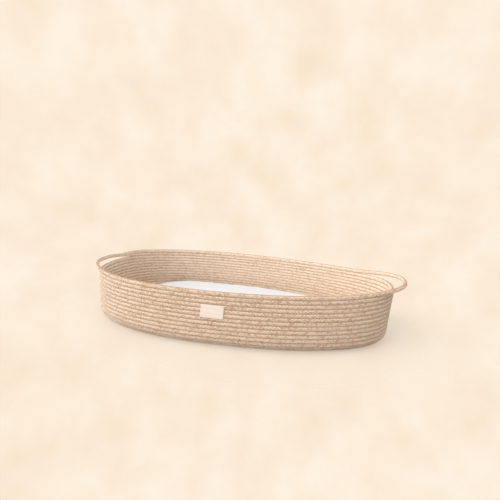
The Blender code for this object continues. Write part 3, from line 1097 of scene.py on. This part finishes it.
# A dome with the paper's wash. Only the camera sees it, and light passes through.
def makeBackdrop():
    shape = bmesh.new()
    bmesh.ops.create_uvsphere(shape, u_segments=48, v_segments=24, radius=studio["domeRadius"])
    bmesh.ops.reverse_faces(shape, faces=shape.faces)
    material = bpy.data.materials.new("paperBackdrop")
    material.use_nodes = True
    tree = material.node_tree
    tree.nodes.remove(tree.nodes["Principled BSDF"])
    cloud = objectNoise(tree, studio["washScale"], 4.0)
    ramp = addNode(tree, "ShaderNodeMapRange")
    ramp.inputs["From Min"].default_value, ramp.inputs["From Max"].default_value = studio["washRange"]
    tree.links.new(cloud, ramp.inputs["Value"])
    glow = addNode(tree, "ShaderNodeEmission")
    colour = mixColours(tree, ramp.outputs[0], studio["paper"], studio["paperWash"])
    tree.links.new(colour, glow.inputs["Color"])
    clear = addNode(tree, "ShaderNodeBsdfTransparent")
    rays = addNode(tree, "ShaderNodeLightPath")
    mixed = addNode(tree, "ShaderNodeMixShader")
    tree.links.new(rays.outputs["Is Camera Ray"], mixed.inputs[0])
    tree.links.new(clear.outputs[0], mixed.inputs[1])
    tree.links.new(glow.outputs[0], mixed.inputs[2])
    tree.links.new(mixed.outputs[0], tree.nodes["Material Output"].inputs["Surface"])
    meshObject("paperBackdrop", shape, material)


# A round floor that thins out to the backdrop for the camera, and keeps the basket's soft shadow.
def makeFloor():
    shape = bmesh.new()
    bmesh.ops.create_circle(shape, cap_ends=True, segments=96, radius=studio["floorRadius"])
    material, tree, shader = newMaterial("paper", studio["paper"], 1.0)
    shader.inputs["Specular IOR Level"].default_value = 0.0
    lit = [value / level for value, level in zip(studio["paperMean"], lightOnFloor())]
    seen = addNode(tree, "ShaderNodeLightPath").outputs["Is Camera Ray"]
    bounce = [value * studio["bounceShare"] for value in lit]
    tree.links.new(mixColours(tree, seen, bounce, lit), shader.inputs["Base Color"])
    place = addNode(tree, "ShaderNodeTexCoord")
    oval = addNode(tree, "ShaderNodeMapping")
    oval.inputs["Scale"].default_value = (1.0, studio["fadeStretch"], 1.0)
    tree.links.new(place.outputs["Object"], oval.inputs["Vector"])
    far = addNode(tree, "ShaderNodeVectorMath", operation="LENGTH")
    tree.links.new(oval.outputs[0], far.inputs[0])
    start, end = studio["fadeStart"], studio["fadeEnd"]
    fade = smoothRamp(tree, far.outputs["Value"], start, end, 1.0, 1 - studio["shadowShare"])
    clear = addNode(tree, "ShaderNodeBsdfTransparent")
    mixed = addNode(tree, "ShaderNodeMixShader")
    tree.links.new(mathNode(tree, "MULTIPLY", fade, seen), mixed.inputs[0])
    tree.links.new(shader.outputs[0], mixed.inputs[1])
    tree.links.new(clear.outputs[0], mixed.inputs[2])
    tree.links.new(mixed.outputs[0], tree.nodes["Material Output"].inputs["Surface"])
    meshObject("paperFloor", shape, material, smooth=False)


def makeLights():
    world = bpy.data.worlds.new("studioWorld")
    world.use_nodes = True
    nodes = world.node_tree
    light = nodes.nodes["Background"]
    light.inputs["Color"].default_value = (*studio["worldColour"], 1.0)
    light.inputs["Strength"].default_value = studio["worldStrength"]
    seen = addNode(nodes, "ShaderNodeBackground")
    seen.inputs["Color"].default_value = (*studio["paper"], 1.0)
    rays = addNode(nodes, "ShaderNodeLightPath")
    share = mathNode(nodes, "MAXIMUM", rays.outputs["Is Camera Ray"], rays.outputs["Is Glossy Ray"])
    share = mathNode(nodes, "MAXIMUM", share, rays.outputs["Is Transmission Ray"])
    mixed = addNode(nodes, "ShaderNodeMixShader")
    nodes.links.new(share, mixed.inputs[0])
    nodes.links.new(light.outputs[0], mixed.inputs[1])
    nodes.links.new(seen.outputs[0], mixed.inputs[2])
    nodes.links.new(mixed.outputs[0], nodes.nodes["World Output"].inputs["Surface"])
    bpy.context.scene.world = world

    data = bpy.data.lights.new("keyLight", "SUN")
    data.energy = studio["sunStrength"]
    data.angle = studio["sunAngle"]
    data.color = studio["sunColour"]
    lamp = link(bpy.data.objects.new("keyLight", data))
    lamp.rotation_euler = Vector(studio["sunFrom"]).to_track_quat("Z", "Y").to_euler()
    bpy.context.scene.view_settings.view_transform = "Standard"


# Build

makeCamera()
makeBackdrop()
makeFloor()
makeLights()
print("studio ready")

ropeTree = makeRopeTree()
stitchTree = makeStitchTree()
braid = makeBraidGroup()
weave = makeWeaveGroup()
ropeMaterial = makeRopeMaterial(braid)
threadMaterial = makeThreadMaterial()
labelMaterial = makeClothMaterial("labelCloth", "label", weave)
coverMaterial = makeClothMaterial("padCotton", "padCover", weave)

basketPieces = makeBasketRopes(ropeTree, ropeMaterial)
basketPieces += makeStitches(stitchTree, threadMaterial)
basketPieces += makeLabel(labelMaterial, threadMaterial)
for piece in basketPieces:
    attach(piece, "basket")

padPieces = makePad(coverMaterial)
for piece in padPieces:
    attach(piece, "pad")
print("pieces:", len(basketPieces) + len(padPieces))
